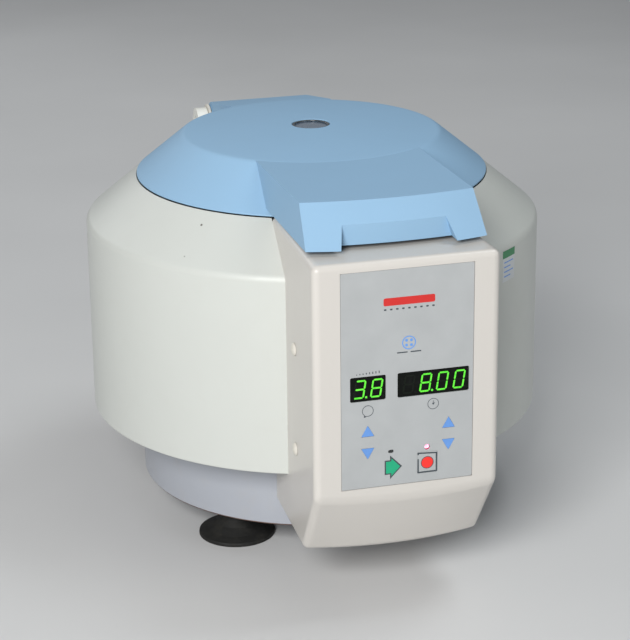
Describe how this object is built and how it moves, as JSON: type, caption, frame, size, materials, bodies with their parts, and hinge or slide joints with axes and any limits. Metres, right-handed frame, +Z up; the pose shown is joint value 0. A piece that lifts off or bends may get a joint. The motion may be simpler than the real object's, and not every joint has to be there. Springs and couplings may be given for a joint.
{
  "type": "laboratory centrifuge",
  "caption": "Bench-top drum-shaped lab centrifuge with a hinged lid, viewing window, front console with displays and keys, and a swing-out bucket rotor inside.",
  "frame": {"origin": "on the bench, under the middle of the bounding box", "axes": "+Z up, -Y towards the user and the console, X across"},
  "size_m": [0.368, 0.4498, 0.3162],
  "materials": {
    "cream_paint": "satin cream paint",
    "white_plastic": "fine textured moulding",
    "blue_plastic": "fine textured light blue",
    "pale_blue_plastic": "satin pale blue grey",
    "grey_film": "matt printed film",
    "key_blue": "matt",
    "key_green": "matt",
    "key_red": "matt",
    "display_black": "dark display window",
    "lamp_dark": "unlit lamp",
    "lamp_red": "lit red lamp",
    "black_plastic": "matt black",
    "black_rubber": "dusty black",
    "smoked_window": "smoked clear plastic",
    "stainless_steel": "spun and brushed",
    "zinc_plate": "zinc plated",
    "cast_alloy": "cast and machined",
    "circuit_board": "solder mask",
    "ivory_nylon": "ivory"
  },
  "bodies": {
    "frame": {"base_pan": "pale_blue_plastic", "casing": "cream_paint", "console_housing": "white_plastic", "control_overlay": "grey_film", "speed_display": "display_black", "time_display": "display_black", "run_lamp": "lamp_dark", "stop_lamp": "lamp_red", "control_board": "circuit_board", "hinge_bracket_left": "cream_paint", "hinge_bracket_right": "cream_paint", "hinge_washer_left": "ivory_nylon", "hinge_washer_right": "ivory_nylon", "hinge_pin": "stainless_steel", "chamber_floor": "stainless_steel", "chamber_wall": "stainless_steel", "chamber_rim": "stainless_steel", "guard_ring": "zinc_plate", "motor_plate": "zinc_plate", "motor_housing": "cast_alloy", "power_inlet": "black_plastic", "latch_solenoid": "zinc_plate", "motor_mount_1": "black_rubber", "motor_mount_2": "black_rubber", "motor_mount_3": "black_rubber", "foot_1": "black_rubber", "foot_screw_1": "zinc_plate", "screw_cap_1": "ivory_nylon", "foot_2": "black_rubber", "foot_screw_2": "zinc_plate", "screw_cap_2": "ivory_nylon", "foot_3": "black_rubber", "foot_screw_3": "zinc_plate", "screw_cap_3": "ivory_nylon", "foot_4": "black_rubber", "foot_screw_4": "zinc_plate", "screw_cap_4": "ivory_nylon"},
    "lid": {"lid_shell": "blue_plastic", "lid_liner": "stainless_steel", "lid_gasket": "black_rubber", "viewport_lens": "smoked_window", "viewport_ring": "black_plastic", "latch_hook": "zinc_plate"},
    "rotor": {"motor_shaft": "stainless_steel", "cooling_fan": "black_plastic", "rotor_yoke": "cast_alloy"},
    "nut": {"rotor_nut": "black_plastic"},
    "lock_bolt": {"latch_bolt": "stainless_steel"},
    "rocker": {"power_rocker": "black_plastic"},
    "fuse": {"fuse_drawer": "black_plastic"},
    "cup_1": {"bucket_1": "stainless_steel"},
    "cup_2": {"bucket_2": "stainless_steel"},
    "cup_3": {"bucket_3": "stainless_steel"},
    "cup_4": {"bucket_4": "stainless_steel"},
    "key_speed_up_cap": {"key_speed_up": "key_blue"},
    "key_speed_down_cap": {"key_speed_down": "key_blue"},
    "key_time_up_cap": {"key_time_up": "key_blue"},
    "key_time_down_cap": {"key_time_down": "key_blue"},
    "key_start_cap": {"key_start": "key_green"},
    "key_stop_cap": {"key_stop": "key_red"}
  },
  "joints": [
    {"name": "lid_hinge", "type": "hinge", "parent": "frame", "child": "lid", "pos_m": [0, 0.2104, 0.28], "axis": [-1, 0, 0], "range_deg": [0, 95]},
    {"name": "rotor_spin", "type": "hinge", "parent": "frame", "child": "rotor", "pos_m": [0, 0.0334, 0.224], "axis": [0, 0, 1], "continuous": true},
    {"name": "nut_turn", "type": "hinge", "parent": "rotor", "child": "nut", "pos_m": [0, 0.0334, 0.24], "axis": [0, 0, 1], "continuous": true},
    {"name": "cup_1_swing", "type": "hinge", "parent": "rotor", "child": "cup_1", "pos_m": [0.06, 0.0334, 0.224], "axis": [0, -1, 0], "range_deg": [0, 90]},
    {"name": "cup_2_swing", "type": "hinge", "parent": "rotor", "child": "cup_2", "pos_m": [0, 0.0934, 0.224], "axis": [1, 0, 0], "range_deg": [0, 90]},
    {"name": "cup_3_swing", "type": "hinge", "parent": "rotor", "child": "cup_3", "pos_m": [-0.06, 0.0334, 0.224], "axis": [0, 1, 0], "range_deg": [0, 90]},
    {"name": "cup_4_swing", "type": "hinge", "parent": "rotor", "child": "cup_4", "pos_m": [0, -0.0266, 0.224], "axis": [-1, 0, 0], "range_deg": [0, 90]},
    {"name": "key_speed_up_press", "type": "slide", "parent": "frame", "child": "key_speed_up_cap", "axis": [0, 1, 0], "range_m": [0, 0.0005], "stiffness_N_per_m": 1500},
    {"name": "key_speed_down_press", "type": "slide", "parent": "frame", "child": "key_speed_down_cap", "axis": [0, 1, 0], "range_m": [0, 0.0005], "stiffness_N_per_m": 1500},
    {"name": "key_time_up_press", "type": "slide", "parent": "frame", "child": "key_time_up_cap", "axis": [0, 1, 0], "range_m": [0, 0.0005], "stiffness_N_per_m": 1500},
    {"name": "key_time_down_press", "type": "slide", "parent": "frame", "child": "key_time_down_cap", "axis": [0, 1, 0], "range_m": [0, 0.0005], "stiffness_N_per_m": 1500},
    {"name": "key_start_press", "type": "slide", "parent": "frame", "child": "key_start_cap", "axis": [0, 1, 0], "range_m": [0, 0.0005], "stiffness_N_per_m": 1500},
    {"name": "key_stop_press", "type": "slide", "parent": "frame", "child": "key_stop_cap", "axis": [0, 1, 0], "range_m": [0, 0.0005], "stiffness_N_per_m": 1500},
    {"name": "lock_bolt_slide", "type": "slide", "parent": "frame", "child": "lock_bolt", "axis": [0, -1, 0], "range_m": [0, 0.008], "stiffness_N_per_m": 300},
    {"name": "rocker_tip", "type": "hinge", "parent": "frame", "child": "rocker", "pos_m": [-0.019, 0.2164, 0.128], "axis": [-1, 0, 0], "range_deg": [0, 20]},
    {"name": "fuse_drawer_slide", "type": "slide", "parent": "frame", "child": "fuse", "axis": [0, 1, 0], "range_m": [0, 0.016]}
  ]
}
